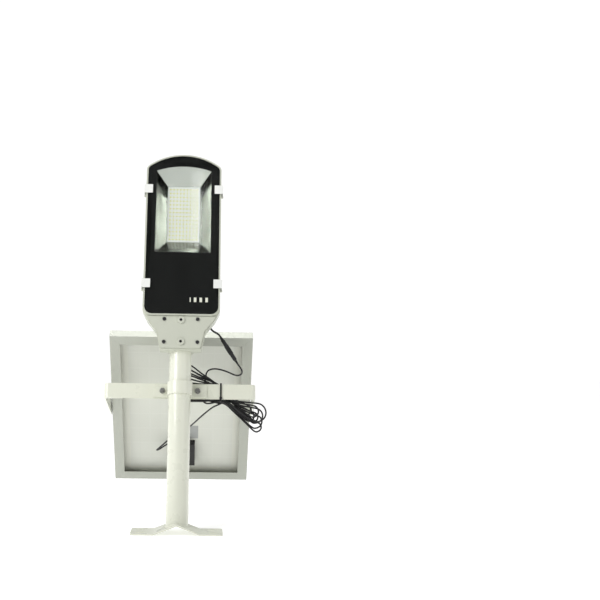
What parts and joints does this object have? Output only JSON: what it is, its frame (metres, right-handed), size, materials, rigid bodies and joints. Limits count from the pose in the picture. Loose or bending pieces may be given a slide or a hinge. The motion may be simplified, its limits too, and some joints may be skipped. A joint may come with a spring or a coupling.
{
  "type": "solar street lamp",
  "caption": "Solar street lamp: leaning tube arm on a vee pole bracket, long flat lamp head with arched end, and a framed solar panel tilting on a U-shaped bracket.",
  "frame": {"origin": "centre of the pole bracket's four-slot pattern, on the face that meets the pole", "axes": "+Z away from the pole, +X along the bracket's wings, +Y towards the side the arm leans to and the solar panel hangs on"},
  "size_m": [0.4549, 0.5706, 1.0323],
  "materials": {
    "paint": "powder coat, satin",
    "cast_paint": "die casting, powder coated, satin",
    "steel": "zinc plated",
    "dark_steel": "black oxide",
    "spring_steel": "pressed, satin",
    "glass": "clear tempered",
    "print": "fired black print",
    "gasket": "matt",
    "seal": "matt",
    "reflector": "bright anodised sheet",
    "board": "white solder mask",
    "led": "phosphor",
    "pcb": "green solder mask",
    "component": "moulded",
    "cell_sleeve": "blue shrink sleeve",
    "nickel": "nickel strip",
    "moulding": "moulded, matt",
    "pivot_washer": "moulded",
    "frame": "anodised extrusion",
    "solar_glass": "clear tempered",
    "cells": "dark blue cells in clear encapsulant",
    "backsheet": "matt film",
    "rating": "printed film, plain grey",
    "terminal": "plated",
    "cable": "round sheathed two-core lead"
  },
  "bodies": {
    "lamp": {"pole_bracket": "paint", "arm_tube": "paint", "lamp_housing": "cast_paint", "neck_cover": "cast_paint", "board_screws": "steel", "controller_screws": "steel", "cradle_screws": "steel", "clip_pins": "steel", "arm_clamp_screws": "dark_steel", "cover_screws": "dark_steel", "cover_glass": "glass", "glass_print": "print", "glass_gasket": "gasket", "connector_seal": "seal", "reflector": "reflector", "led_board": "board", "leds": "led", "controller_board": "pcb", "controller_parts": "component", "battery_cells": "cell_sleeve", "cell_links": "nickel", "battery_cradle": "moulding", "lamp_gland_body": "moulding", "lamp_gland_nut": "moulding", "lamp_gland_locknut": "moulding", "connector_socket": "moulding", "connector_plug": "moulding", "connector_collar": "moulding", "lamp_lead": "cable"},
    "bracket": {"u_bracket": "paint", "saddle_strap": "paint", "clamp_bolts": "steel", "clamp_washers": "steel", "clamp_nuts": "steel", "cable_tie": "moulding", "lead_hank": "cable", "lead_loop": "cable", "lead_to_panel": "cable"},
    "panel": {"frame_top": "frame", "frame_bottom": "frame", "frame_left": "frame", "frame_right": "frame", "corner_keys": "frame", "panel_glass": "solar_glass", "cell_layer": "cells", "backsheet": "backsheet", "rating_plate": "rating", "junction_box": "moulding", "junction_lid": "moulding", "junction_terminals": "terminal", "junction_gland": "moulding", "pivot_bolts": "steel", "pivot_washers": "pivot_washer", "pivot_nuts": "steel"},
    "clip_upper_left": {"clip_upper_left": "spring_steel"},
    "clip_upper_right": {"clip_upper_right": "spring_steel"},
    "clip_lower_left": {"clip_lower_left": "spring_steel"},
    "clip_lower_right": {"clip_lower_right": "spring_steel"}
  },
  "joints": [
    {"name": "bracket_turn", "type": "hinge", "parent": "lamp", "child": "bracket", "pos_m": [0, 0.09939, 0.37092], "axis": [0, 0.2588, 0.9659], "range_deg": [-20, 20], "deforming": ["lead_loop"]},
    {"name": "panel_tilt", "type": "hinge", "parent": "bracket", "child": "panel", "pos_m": [0, 0.36019, 0.30103], "axis": [1, 0, 0], "range_deg": [-50, 6], "deforming": ["lead_to_panel"]},
    {"name": "upper_left_clip_hinge", "type": "hinge", "parent": "lamp", "child": "clip_upper_left", "pos_m": [-0.1088, 0.21774, 0.92465], "axis": [0, -0.2588, -0.9659], "range_deg": [0, 100]},
    {"name": "upper_right_clip_hinge", "type": "hinge", "parent": "lamp", "child": "clip_upper_right", "pos_m": [0.1088, 0.21774, 0.92465], "axis": [0, 0.2588, 0.9659], "range_deg": [0, 100]},
    {"name": "lower_left_clip_hinge", "type": "hinge", "parent": "lamp", "child": "clip_lower_left", "pos_m": [-0.1088, 0.14527, 0.65419], "axis": [0, -0.2588, -0.9659], "range_deg": [0, 100]},
    {"name": "lower_right_clip_hinge", "type": "hinge", "parent": "lamp", "child": "clip_lower_right", "pos_m": [0.1088, 0.14527, 0.65419], "axis": [0, 0.2588, 0.9659], "range_deg": [0, 100]}
  ]
}
